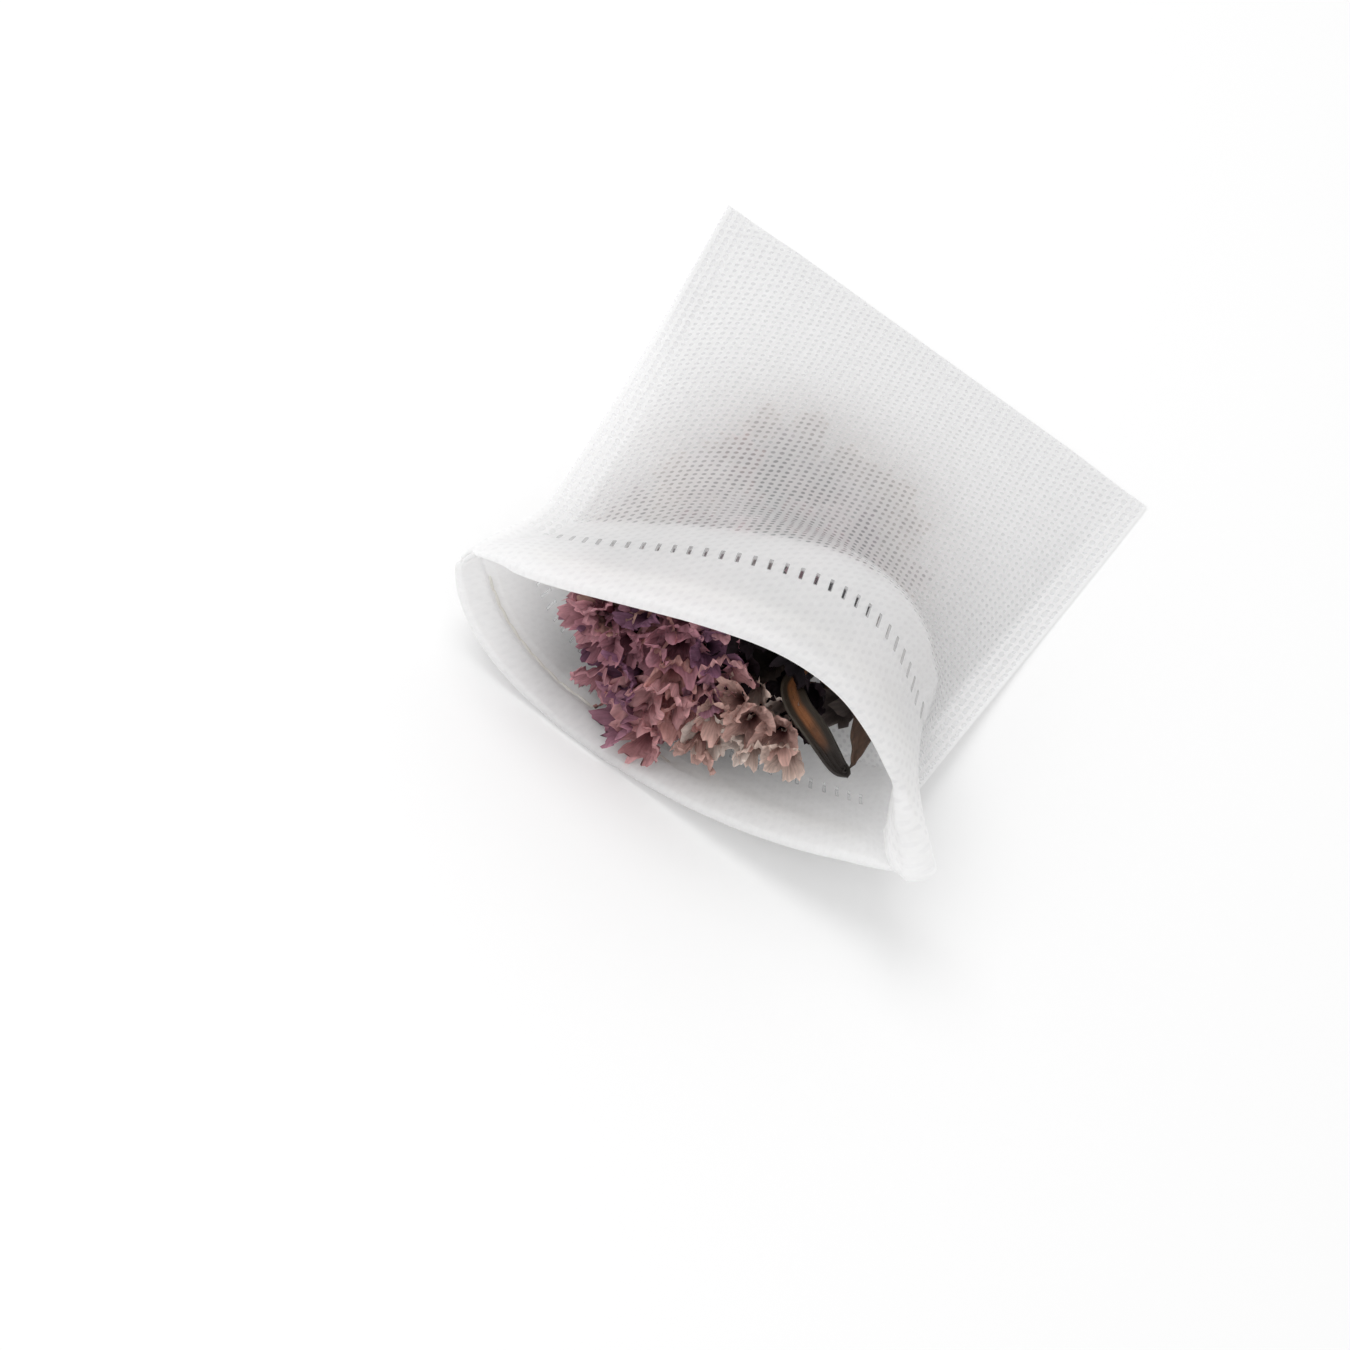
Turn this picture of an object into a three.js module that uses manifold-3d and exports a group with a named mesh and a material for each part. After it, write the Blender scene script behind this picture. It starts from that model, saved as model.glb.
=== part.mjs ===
import * as THREE from 'three';
import Module from 'manifold-3d';

const wasm = await Module();
wasm.setup();

// Driving dimensions, in millimetres
const BAG_WIDTH = 70;
const BAG_LENGTH = 90;
const SHEET_THICKNESS = 0.3;
const HEM_WELD = 11.1;
const HEM_RAW_EDGE = 18.2;
const CHANNEL_GAP = 1.7;
const CHANNEL_END_GAP = 0.62;
const TEARDROP_GAP = 5;
const LEFT_DRAWN_IN = 4.4;
const RIGHT_DRAWN_IN = 5.2;
const FRONT_BULGE = 8.3;
const SEAM_FLANGE = 4;
const SEAM_LAYER_GAP = 0.4;
const BOTTOM_FOLD_GAP = 0.7;
const MOUTH_LEFT_LIFT = 13.5;
const MOUTH_RIGHT_LIFT = 12.8;
const WELD_DASHES = 32;
const DASH_PITCH = 1.9;
const DASH_LENGTH = 2;
const DASH_WIDTH = 0.5;
const DASH_DEPTH = 0.12;
const THREAD_DIAMETER = 0.7;

const HALF_WIDTH = BAG_WIDTH / 2;
const HALF_SHEET = SHEET_THICKNESS / 2;

// Handles of the section curves: how the two panels leave the side edges, at the mouth and further in
const MOUTH_HANDLES = { a1: 21.4, h1: 11, a2: 20.6, h2: 22.1, b1: -5, g1: 12, b2: 33, g2: 22.5 };
const INNER_HANDLES = { a1: 14, h1: 14, a2: 11.5, h2: 22, b1: 5, g1: 22, b2: 17, g2: 15.5 };

// Stations along the panel from the mouth fold, and columns across it
const HEM_STATIONS = [1, 2.5, 4.5, 7, 9.6, HEM_WELD, 12.7, HEM_RAW_EDGE];
const PANEL_STATIONS = [0, ...HEM_STATIONS, 22, 26.5, 32.5, 41, 52, 64, 77, BAG_LENGTH];
const COLUMNS = [-35, -33, -31, ...Array.from({ length: 15 }, (_, k) => -27.125 + 3.875 * k), 31, 33, 35];

const mix = (a, b, k) => a + (b - a) * k;
const clamp01 = (k) => Math.min(1, Math.max(0, k));
const smooth = (k) => clamp01(k) * clamp01(k) * (3 - 2 * clamp01(k));
const v3 = (x, y, z) => new THREE.Vector3(x, y, z);

// One section across the bag: the front and back panel lines, cut to the columns
function resample(points) {
  const reach = [0];
  for (let k = 1; k < points.length; k += 1) {
    reach.push(reach[k - 1] + points[k].distanceTo(points[k - 1]));
  }
  const total = reach[reach.length - 1];
  return COLUMNS.map((s) => {
    const want = ((s + HALF_WIDTH) / BAG_WIDTH) * total;
    let k = 1;
    while (k < points.length - 1 && reach[k] < want) {
      k += 1;
    }
    return points[k - 1].clone().lerp(points[k], (want - reach[k - 1]) / (reach[k] - reach[k - 1]));
  });
}

function section(t) {
  const v = t / BAG_LENGTH;
  const lift = Math.max(0, 1 - v / 0.85) ** 1.5;
  const hump = (1 - v ** 2) * (1 - 0.15 * v);
  const away = smooth(t / 18);
  const h = {};
  for (const key of Object.keys(MOUTH_HANDLES)) {
    h[key] = mix(MOUTH_HANDLES[key], INNER_HANDLES[key], away);
  }
  const flange = mix(0.4, SEAM_FLANGE, away);
  const inL = 4.5 * (1 - v * v) + LEFT_DRAWN_IN * smooth(t / 20) * (1 - v) ** 1.2;
  const inR = 3.2 * (1 - v * v) + RIGHT_DRAWN_IN * smooth(t / 14) * (1 - v) ** 1.6;
  const edgeL = new THREE.Vector2(-HALF_WIDTH + inL, HALF_SHEET + MOUTH_LEFT_LIFT * lift);
  const edgeR = new THREE.Vector2(HALF_WIDTH - inR, HALF_SHEET + MOUTH_RIGHT_LIFT * lift ** 2);
  const tiltL = (8 * lift * Math.PI) / 180;
  const tiltR = (17 * lift * Math.PI) / 180;
  const startL = edgeL.clone().add(new THREE.Vector2(Math.cos(tiltL), -Math.sin(tiltL)).multiplyScalar(flange));
  const startR = edgeR.clone().add(new THREE.Vector2(-Math.cos(tiltR), Math.sin(tiltR)).multiplyScalar(flange));
  const front = new THREE.CubicBezierCurve(
    startL,
    startL.clone().add(new THREE.Vector2(h.a1, h.h1 * hump)),
    startR.clone().add(new THREE.Vector2(-h.a2, h.h2 * hump)),
    startR,
  ).getPoints(80);
  const back = new THREE.CubicBezierCurve(
    startL,
    startL.clone().add(new THREE.Vector2(mix(20, h.b1, lift), -h.g1 * lift)),
    startR.clone().add(new THREE.Vector2(-mix(20, h.b2, lift), -h.g2 * lift)),
    startR,
  ).getPoints(80);
  const lines = [front, back].map((line) => resample([edgeL, ...line, edgeR]));

  // The two layers part at the hem ends and lie together down the welded side, and the contents
  // push the front panel up behind the hem
  const parted = 1 - smooth((t - 7) / 19);
  const bulge = FRONT_BULGE * Math.exp(-(((t - 16.8) / 12.5) ** 2));
  lines.forEach((line, side) => {
    line.forEach((p, j) => {
      const sign = side === 0 ? 1 : -1;
      const left = COLUMNS[j] < 0;
      const fromEdge = HALF_WIDTH - Math.abs(COLUMNS[j]);
      const near = 1 - smooth((fromEdge - flange) / 9);
      const ends = left ? 0.9 : side === 0 ? 3.2 : 0.9;
      const turn = ((left ? mix(90, 70, parted) : mix(90, 64, parted)) * Math.PI) / 180;
      const part = sign * (SEAM_LAYER_GAP / 2 + ends * parted) * near;
      p.x += Math.cos(turn) * part;
      p.y += Math.sin(turn) * part;
      if (side === 0) {
        p.y += (BOTTOM_FOLD_GAP - SEAM_LAYER_GAP / 2) * (1 - near);
        p.y += bulge * Math.exp(-(((COLUMNS[j] - 20.5) / 30.5) ** 2)) * smooth(fromEdge / 10);
      }
    });
  });
  return lines;
}

// Panels in space: every column keeps its cut length from the bottom fold to the mouth
function panel(side) {
  const flat = PANEL_STATIONS.map((t) => section(t)[side]);
  const rows = flat.map(() => []);
  COLUMNS.forEach((s, j) => {
    let y = BAG_LENGTH;
    for (let k = PANEL_STATIONS.length - 1; k >= 0; k -= 1) {
      const p = flat[k][j];
      if (k < PANEL_STATIONS.length - 1) {
        const step = PANEL_STATIONS[k + 1] - PANEL_STATIONS[k];
        const off = p.distanceTo(flat[k + 1][j]);
        y -= Math.sqrt(Math.max(step * step - off * off, 0.3 * step * step));
      }
      rows[k].push(v3(p.x, y, Math.max(p.y, HALF_SHEET)));
    }
  });
  return rows;
}

function normals(rows, turn) {
  return rows.map((row, k) => row.map((p, j) => {
    const across = row[Math.min(j + 1, row.length - 1)].clone().sub(row[Math.max(j - 1, 0)]);
    const along = rows[Math.min(k + 1, rows.length - 1)][j].clone().sub(rows[Math.max(k - 1, 0)][j]);
    return across.cross(along).normalize().multiplyScalar(turn);
  }));
}

const frontPanel = panel(0);
const backPanel = panel(1);
const frontInward = normals(frontPanel, -1);
const backInward = normals(backPanel, 1);

// The hem: the mouth edge turned inward round a thread and welded down along a row of dashes
function channelGap(side, s) {
  const fromLeft = HALF_WIDTH + s;
  const fromRight = HALF_WIDTH - s;
  const rightGap = side === 0 ? TEARDROP_GAP : CHANNEL_END_GAP;
  const left = mix(CHANNEL_END_GAP, CHANNEL_GAP, smooth(fromLeft / 6));
  return mix(rightGap, left, smooth(fromRight / (side === 0 ? 11 : 6)));
}

function liningGap(side, t, s) {
  const closed = 0.46;
  const share = { 1: 0.86, 2.5: 0.98, 4.5: 1, 7: 0.82, 9.6: 0.36 }[t] ?? 0;
  return mix(closed, channelGap(side, s), share);
}

function hem(side) {
  const rows = side === 0 ? frontPanel : backPanel;
  const inward = side === 0 ? frontInward : backInward;
  const lining = HEM_STATIONS.map((t, k) => rows[k + 1].map((p, j) => (
    p.clone().addScaledVector(inward[k + 1][j], liningGap(side, t, COLUMNS[j]))
  )));
  const fold = [[0.74, 0], [0.42, 0.3], [0.1, 0.1]].map(([into, out]) => rows[0].map((p, j) => {
    const gap = channelGap(side, COLUMNS[j]);
    const outward = p.clone().sub(rows[1][j]).normalize();
    return p.clone().addScaledVector(inward[0][j], into * gap).addScaledVector(outward, out * gap);
  }));
  return [...lining.reverse(), ...fold];
}

// One sheet: front raw edge, front hem, front panel, bottom fold, back panel, back hem, back raw edge
const bottomFold = frontPanel[frontPanel.length - 1].map((p, j) => {
  const q = backPanel[backPanel.length - 1][j];
  return p.clone().lerp(q, 0.5).add(v3(0, p.distanceTo(q) / 2, 0));
});
const sheetRows = [
  ...hem(0),
  ...frontPanel.slice(1),
  bottomFold,
  ...backPanel.slice(1).reverse(),
  ...hem(1).reverse(),
];

// A closed solid from two matching grids of points, the outer one first
function solidFromGrids(outer, inner) {
  const m = outer.length;
  const n = outer[0].length;
  const vertices = [];
  [outer, inner].forEach((grid) => grid.forEach((row) => row.forEach((p) => vertices.push(p.x, p.y, p.z))));
  const at = (layer, k, j) => layer * m * n + k * n + j;
  const faces = [];
  const quad = (a, b, c, d) => faces.push(a, b, c, a, c, d);
  for (let k = 0; k < m - 1; k += 1) {
    for (let j = 0; j < n - 1; j += 1) {
      quad(at(0, k, j), at(0, k, j + 1), at(0, k + 1, j + 1), at(0, k + 1, j));
      quad(at(1, k, j), at(1, k + 1, j), at(1, k + 1, j + 1), at(1, k, j + 1));
    }
  }
  for (let j = 0; j < n - 1; j += 1) {
    quad(at(1, 0, j), at(1, 0, j + 1), at(0, 0, j + 1), at(0, 0, j));
    quad(at(0, m - 1, j), at(0, m - 1, j + 1), at(1, m - 1, j + 1), at(1, m - 1, j));
  }
  for (let k = 0; k < m - 1; k += 1) {
    quad(at(0, k, 0), at(0, k + 1, 0), at(1, k + 1, 0), at(1, k, 0));
    quad(at(1, k, n - 1), at(1, k + 1, n - 1), at(0, k + 1, n - 1), at(0, k, n - 1));
  }
  return { vertices, faces };
}

function toManifold({ vertices, faces }) {
  return new wasm.Manifold(new wasm.Mesh({
    numProp: 3,
    vertProperties: new Float32Array(vertices),
    triVerts: new Uint32Array(faces),
  }));
}

const shifted = (rows, dirs, by) => rows.map((row, k) => row.map((p, j) => p.clone().addScaledVector(dirs[k][j], by)));
const sheetNormals = normals(sheetRows, 1);
let bag = toManifold(solidFromGrids(
  shifted(sheetRows, sheetNormals, HALF_SHEET),
  shifted(sheetRows, sheetNormals, -HALF_SHEET),
));

// Side welds: a strip down each side that joins the layers from the hem weld to the bottom
const weldFrom = PANEL_STATIONS.indexOf(HEM_WELD);
function alongRow(row, place) {
  const j = Math.min(Math.floor(place), row.length - 2);
  return row[j].clone().lerp(row[j + 1], place - j);
}
const last = COLUMNS.length - 1;
for (const [from, to] of [[0.25, 1.7], [last - 1.7, last - 0.25]]) {
  const top = [];
  const under = [];
  for (let k = weldFrom; k < PANEL_STATIONS.length - 1; k += 1) {
    const places = [from, to];
    const upper = places.map((place) => alongRow(frontPanel[k], place));
    const lower = places.map((place) => alongRow(backPanel[k], place));
    const into = upper.map((p, i) => p.clone().sub(lower[i]).normalize().multiplyScalar(0.05));
    top.push(upper.map((p, i) => p.sub(into[i])));
    under.push(lower.map((p, i) => p.add(into[i])));
  }
  bag = bag.add(toManifold(solidFromGrids(top, under)));
}

// Hem welds: a bead that ties the turned edge to the panel, with a row of short dashes pressed in outside
function dashBox(side, s, low, high, width, length) {
  const rows = side === 0 ? frontPanel : backPanel;
  const inward = side === 0 ? frontInward : backInward;
  let j = 0;
  while (COLUMNS[j + 1] < s) {
    j += 1;
  }
  const place = j + (s - COLUMNS[j]) / (COLUMNS[j + 1] - COLUMNS[j]);
  const middle = alongRow(rows[weldFrom], place);
  const across = rows[weldFrom][j + 1].clone().sub(rows[weldFrom][j]).normalize();
  const up = alongRow(inward[weldFrom], place).negate();
  up.addScaledVector(across, -up.dot(across)).normalize();
  const along = up.clone().cross(across);
  const box = new THREE.BoxGeometry(width, length, high - low);
  box.translate(0, 0, (high + low) / 2);
  box.applyMatrix4(new THREE.Matrix4().makeBasis(across, along, up).setPosition(middle));
  return box;
}

function fromGeometry(geometry) {
  const ids = new Map();
  const vertices = [];
  const faces = [];
  const place = geometry.attributes.position;
  const order = geometry.index ? geometry.index.array : Array.from({ length: place.count }, (_, k) => k);
  for (const k of order) {
    const key = [place.getX(k), place.getY(k), place.getZ(k)].map((c) => Math.round(c * 1e4)).join(' ');
    if (!ids.has(key)) {
      ids.set(key, vertices.length / 3);
      vertices.push(place.getX(k), place.getY(k), place.getZ(k));
    }
    faces.push(ids.get(key));
  }
  return { vertices, faces };
}

function joined(parts) {
  const all = { vertices: [], faces: [] };
  for (const part of parts) {
    const start = all.vertices.length / 3;
    all.vertices.push(...part.vertices);
    all.faces.push(...part.faces.map((k) => k + start));
  }
  return all;
}

for (const side of [0, 1]) {
  const rows = side === 0 ? frontPanel : backPanel;
  const inward = side === 0 ? frontInward : backInward;
  const bead = (by) => [weldFrom, weldFrom + 1].map((k) => rows[k].slice(3, -3).map((p, j) => (
    p.clone().lerp(rows[k - 1][j + 3], 0.35).addScaledVector(inward[k][j + 3], by)
  )));
  const faces = side === 0 ? [bead(0.05), bead(0.42)] : [bead(0.42), bead(0.05)];
  bag = bag.add(toManifold(solidFromGrids(...faces)));
  const marks = [];
  for (let k = 0; k < WELD_DASHES; k += 1) {
    const s = (k - (WELD_DASHES - 1) / 2) * DASH_PITCH;
    marks.push(fromGeometry(dashBox(side, s, HALF_SHEET - DASH_DEPTH, 0.6, DASH_WIDTH, DASH_LENGTH)));
  }
  bag = bag.subtract(toManifold(joined(marks)));
}

// Threads: one along each channel, held by the channel all the way
function thread(side, fromColumn, toColumn) {
  const rows = side === 0 ? frontPanel : backPanel;
  const inward = side === 0 ? frontInward : backInward;
  const station = PANEL_STATIONS.indexOf(4.5);
  const points = [];
  for (let j = fromColumn; j <= toColumn; j += 1) {
    const gap = Math.min(liningGap(side, 4.5, COLUMNS[j]), CHANNEL_GAP * 1.25);
    points.push(rows[station][j].clone().addScaledVector(inward[station][j], gap / 2));
  }
  const outline = new THREE.Shape();
  for (let k = 0; k < 6; k += 1) {
    const turn = (k / 6) * 2 * Math.PI;
    const x = (Math.cos(turn) * THREAD_DIAMETER) / 2;
    const y = (Math.sin(turn) * THREAD_DIAMETER) / 2;
    if (k === 0) {
      outline.moveTo(x, y);
    } else {
      outline.lineTo(x, y);
    }
  }
  outline.closePath();
  return new THREE.ExtrudeGeometry(outline, {
    steps: Math.round(1.5 * (toColumn - fromColumn)),
    bevelEnabled: false,
    extrudePath: new THREE.CatmullRomCurve3(points),
  });
}

// Blossom: a papery funnel with a ruffled rim, closed at its foot, facing along its axis
function blossom(place, facing, radius, depth, turn) {
  const lobes = 5;
  const count = 10;
  const axis = facing.clone().normalize();
  const sideways = new THREE.Vector3(0.31, 0.17, 0.93).cross(axis).normalize();
  const upward = axis.clone().cross(sideways);
  const outer = [[0.16, 0], [0.46, 0.45], [1, 1]];
  const inner = [[0.86, 1.04], [0.3, 0.5]];
  const vertices = [];
  const faces = [];
  const add = (r, along, angle, ruffle) => {
    const wave = Math.cos(lobes * angle + turn);
    const reach = r * radius * (1 + 0.16 * ruffle * wave);
    const p = place.clone()
      .addScaledVector(axis, along * depth - 0.16 * ruffle * wave * depth)
      .addScaledVector(sideways, Math.cos(angle) * reach)
      .addScaledVector(upward, Math.sin(angle) * reach);
    vertices.push(p.x, p.y, p.z);
  };
  const rings = [...outer, ...inner];
  rings.forEach(([r, along]) => {
    for (let k = 0; k < count; k += 1) {
      add(r, along, (k / count) * 2 * Math.PI, clamp01(along * r * 1.3));
    }
  });
  add(0, -0.04, 0, 0);
  add(0, 0.22, 0, 0);
  const foot = rings.length * count;
  for (let i = 0; i < rings.length - 1; i += 1) {
    for (let k = 0; k < count; k += 1) {
      const a = i * count + k;
      const b = i * count + ((k + 1) % count);
      faces.push(a, b, b + count, a, b + count, a + count);
    }
  }
  for (let k = 0; k < count; k += 1) {
    const next = (k + 1) % count;
    faces.push(foot, next, k);
    faces.push(foot + 1, (rings.length - 1) * count + k, (rings.length - 1) * count + next);
  }
  return { vertices, faces };
}

// Twig: a thin tapering branch between two points
function twig(a, b, thickA, thickB) {
  const geometry = new THREE.CylinderGeometry(thickB / 2, thickA / 2, a.distanceTo(b), 6, 1);
  const middle = a.clone().lerp(b, 0.5);
  const turn = new THREE.Quaternion().setFromUnitVectors(v3(0, 1, 0), b.clone().sub(a).normalize());
  geometry.applyQuaternion(turn);
  geometry.translate(middle.x, middle.y, middle.z);
  return fromGeometry(geometry);
}

// Sprig: blossoms on short branches that leave one stem lying along the bag
function sprig(stemFrom, stemTo, heads) {
  let body = toManifold(twig(stemFrom, stemTo, 1.5, 1.1));
  heads.forEach(([x, y, z, fx, fz, radius], k) => {
    const facing = v3(fx, -1, fz).normalize();
    const depth = radius * 1.55;
    const foot = v3(x, y, z).addScaledVector(facing, -depth);
    const along = clamp01((foot.y + 5 - stemFrom.y) / (stemTo.y - stemFrom.y));
    const joint = stemFrom.clone().lerp(stemTo, along);
    body = body.add(toManifold(twig(joint, foot.clone().addScaledVector(facing, 0.5), 0.9, 0.7)));
    body = body.add(toManifold(blossom(foot, facing, radius, depth, k * 1.7)));
  });
  return body;
}

// Heads: place of the rim's middle, how far it faces sideways and up, rim radius
const PINK_HEADS = [
  [-14.5, 5, 9.5, -0.5, 0, 3.3], [-9.5, 3, 6.4, -0.3, -0.1, 3.4], [-3.2, 1.6, 6.2, -0.1, -0.1, 3.3],
  [-12, 7, 14.8, -0.4, 0.4, 3.2], [-6.6, 4, 12.2, -0.2, 0.1, 3.6], [-0.6, 3, 12.2, 0.1, 0.1, 3.4],
  [-7.8, 8, 18.4, -0.2, 0.5, 3.2], [-1.6, 7, 17.6, 0, 0.3, 3.6], [4.6, 8, 18.6, 0.2, 0.4, 3.3],
  [3.4, 13, 13.4, 0.5, 0.3, 3.2], [-13.2, 13, 11.4, -0.6, 0.5, 3.2], [-4, 15, 18.2, -0.1, 1.1, 3.2],
  [3.6, 18, 18.2, 0.3, 1.2, 3], [-9, 19, 14.6, -0.5, 1.1, 3], [-14, 24, 11.4, -0.5, 0.9, 3],
  [-7, 27, 14.2, -0.2, 1.2, 3], [-0.4, 26, 15.8, 0.1, 1.3, 3], [-11, 34, 10.2, -0.4, 1.4, 2.9],
  [-3, 36, 12.4, 0, 1.4, 3], [4, 32, 14.6, 0.3, 1.3, 2.9], [-7, 44, 8.8, -0.2, 1.6, 2.8],
  [1, 46, 9.4, 0.1, 1.6, 2.8],
];
const CREAM_HEADS = [
  [4.2, 3, 6.9, 0.1, 0, 2.8], [10, 4.8, 9, 0.4, 0.1, 3.1], [8.2, 9, 14.2, 0.4, 0.4, 2.8],
  [7.4, 25, 13.6, 0.3, 1.2, 2.6], [8, 37, 10.8, 0.3, 1.4, 2.6], [7.4, 47, 7.6, 0.3, 1.5, 2.5],
];
const pinkSprig = sprig(v3(-5, 54, 1.5), v3(-4, 12, 9.5), PINK_HEADS);
const creamSprig = sprig(v3(7.5, 54, 1.5), v3(8.2, 13, 7.4), CREAM_HEADS);

// Leaf: a dry narrow blade curled along its length, on a stalk that stands on the bag's floor
function blade(points, width, thick, curl) {
  const curve = new THREE.CatmullRomCurve3(points);
  const top = [];
  const under = [];
  const steps = 8;
  for (let k = 0; k <= steps; k += 1) {
    const share = k / steps;
    const p = curve.getPoint(share);
    const along = curve.getTangent(share);
    const across = along.clone().cross(v3(0.25, -0.35, 0.9)).normalize();
    const out = across.clone().cross(along).normalize();
    const half = (width / 2) * (0.18 + 0.82 * Math.sin(Math.PI * (0.06 + 0.9 * share)) ** 0.8);
    const row = [-1, -0.35, 0.35, 1].map((e) => (
      p.clone().addScaledVector(across, e * half).addScaledVector(out, curl * e * e * half)
    ));
    top.push(row.map((q) => q.clone().addScaledVector(out, thick / 2)));
    under.push(row.map((q) => q.clone().addScaledVector(out, -thick / 2)));
  }
  return toManifold(solidFromGrids(top, under));
}
const LEAF_LINE = [v3(10.2, 16, 19.6), v3(10.6, 11, 19.4), v3(12.6, 7.8, 19.2), v3(15.8, 6, 18.8), v3(18.8, 5.2, 17.6)];
const leaf = blade(LEAF_LINE, 3.2, 0.5, 0.4)
  .add(toManifold(twig(v3(12.5, 49, 2), v3(10.3, 15, 19.5), 1.2, 0.9)));

// Bare stem: a dark stem that ends in a small pointed leaf under the front hem
const TIP_LINE = [v3(18.3, 15, 18.8), v3(17.9, 11, 20.2), v3(18.4, 8, 20.1), v3(19.6, 5.2, 18.9)];
const bareStem = blade(TIP_LINE, 3, 0.5, 0.3)
  .add(toManifold(twig(v3(16.6, 45, 3.4), v3(18.3, 14, 19.1), 1.5, 0.9)));

// Finished meshes, set with the origin under the middle of the bag
function meshOf(name, solid, colour, roughness) {
  let geometry = solid;
  if (!(solid instanceof THREE.BufferGeometry)) {
    const { vertProperties, triVerts, numProp } = solid.getMesh();
    geometry = new THREE.BufferGeometry();
    const places = [];
    for (let k = 0; k < vertProperties.length; k += numProp) {
      places.push(vertProperties[k], vertProperties[k + 1], vertProperties[k + 2]);
    }
    geometry.setAttribute('position', new THREE.Float32BufferAttribute(places, 3));
    geometry.setIndex(Array.from(triVerts));
  }
  const material = new THREE.MeshStandardMaterial({ color: colour, roughness, metalness: 0 });
  const mesh = new THREE.Mesh(geometry, material);
  mesh.name = name;
  return mesh;
}

const part = new THREE.Group();
part.name = 'tea_filter_bag';
part.add(meshOf('filter_bag', bag, 0xf0eff0, 0.85));
part.add(meshOf('front_drawstring', thread(0, 3, last), 0xf3f1ec, 0.8));
part.add(meshOf('back_drawstring', thread(1, 3, last - 3), 0xf3f1ec, 0.8));
part.add(meshOf('pink_sprig', pinkSprig, 0xa87f90, 0.9));
part.add(meshOf('cream_sprig', creamSprig, 0xd9bfae, 0.9));
part.add(meshOf('brown_leaf', leaf, 0x5f4130, 0.85));
part.add(meshOf('bare_stem', bareStem, 0x4a3428, 0.85));

const bounds = new THREE.Box3().setFromObject(part);
const centre = bounds.getCenter(v3(0, 0, 0));
for (const mesh of part.children) {
  mesh.geometry.translate(-centre.x, -centre.y, -bounds.min.z);
}

export default part;
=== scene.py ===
import math
import random

import bmesh
import bpy
import numpy as np
from mathutils import Matrix, Vector, noise


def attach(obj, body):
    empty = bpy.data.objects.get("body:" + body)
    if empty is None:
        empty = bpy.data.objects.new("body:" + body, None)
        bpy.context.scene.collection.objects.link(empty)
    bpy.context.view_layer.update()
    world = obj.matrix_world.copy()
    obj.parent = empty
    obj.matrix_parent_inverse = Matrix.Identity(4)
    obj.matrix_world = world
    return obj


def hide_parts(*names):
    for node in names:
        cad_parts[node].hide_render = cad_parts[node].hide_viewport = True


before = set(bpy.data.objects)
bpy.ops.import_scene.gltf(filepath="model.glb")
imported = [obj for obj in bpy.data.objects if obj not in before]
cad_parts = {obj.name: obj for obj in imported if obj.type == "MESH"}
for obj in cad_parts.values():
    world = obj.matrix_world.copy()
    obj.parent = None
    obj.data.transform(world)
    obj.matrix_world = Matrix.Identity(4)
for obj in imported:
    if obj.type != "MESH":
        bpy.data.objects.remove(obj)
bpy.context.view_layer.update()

# Filter bag: one strip of white non-woven filter cloth, folded across the bottom.
# Both mouth edges are turned inward round a thread and spot welded in a row of dashes,
# and the sides are welded through by a knurled wheel. It lies open on its back panel.
MM = 0.001
BAG_WIDTH, BAG_LENGTH = 70.0, 90.0
HALF_WIDTH = BAG_WIDTH / 2
HEM_WELD, HEM_EDGE = 11.1, 18.2  # in from the mouth
CLOTH_LENGTH = 2 * (BAG_LENGTH + HEM_EDGE)
HALF_SHEET = 0.15
CHANNEL, CHANNEL_END, TEARDROP = 1.7, 0.62, 5.0  # how far the turned edge stands off its panel
LEFT_NARROWED, RIGHT_NARROWED = 4.5, 3.2  # the sides come in all along, and more behind the mouth
LEFT_DRAWN_IN, RIGHT_DRAWN_IN = 4.4, 5.2
LEFT_LIFT, RIGHT_LIFT, LIFTED_SHARE = 13.5, 12.8, 0.85  # the side welds rise towards the mouth
LEFT_TILT, RIGHT_TILT = 8, 17  # degrees
FLANGE_AT_MOUTH, FLANGE = 0.4, 4.0
FRONT_BULGE, BULGE_AT, BULGE_REACH = 8.3, (20.5, 16.8), (30.5, 12.5)
SIDES_PARTED, TEARDROP_PARTED = 0.9, 3.2
PULLED_FROM = 27.0  # across the bag, from where the front channel's end is pulled at its fold and weld
PULLED_FOLD, PULLED_WELD = np.array([0.6, -1.0, -0.8]), np.array([-0.8, -2.4, 0.6])
# Handles of the panel lines, at the mouth and further in: a and h of the front one, b and g of the back one
MOUTH_HANDLES = dict(a1=21.4, h1=11, a2=20.6, h2=22.1, b1=-5, g1=12, b2=33, g2=22.5)
INNER_HANDLES = dict(a1=14, h1=14, a2=11.5, h2=22, b1=5, g1=22, b2=17, g2=15.5)
FLAT_HANDLE = 20
TO_ROW = np.array([0.0, -45.006, 0.0])  # the mouth is drawn at y = 0, and then moved into the frame

columns = np.linspace(-HALF_WIDTH, HALF_WIDTH, 141)
hem_stations = np.arange(0, HEM_EDGE, 0.5)
stations = np.concatenate([hem_stations, np.linspace(HEM_EDGE, BAG_LENGTH, 105)])


def mix(a, b, k):
    return a + (b - a) * k


def smooth(k):
    k = np.clip(k, 0, 1)
    return k * k * (3 - 2 * k)


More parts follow.
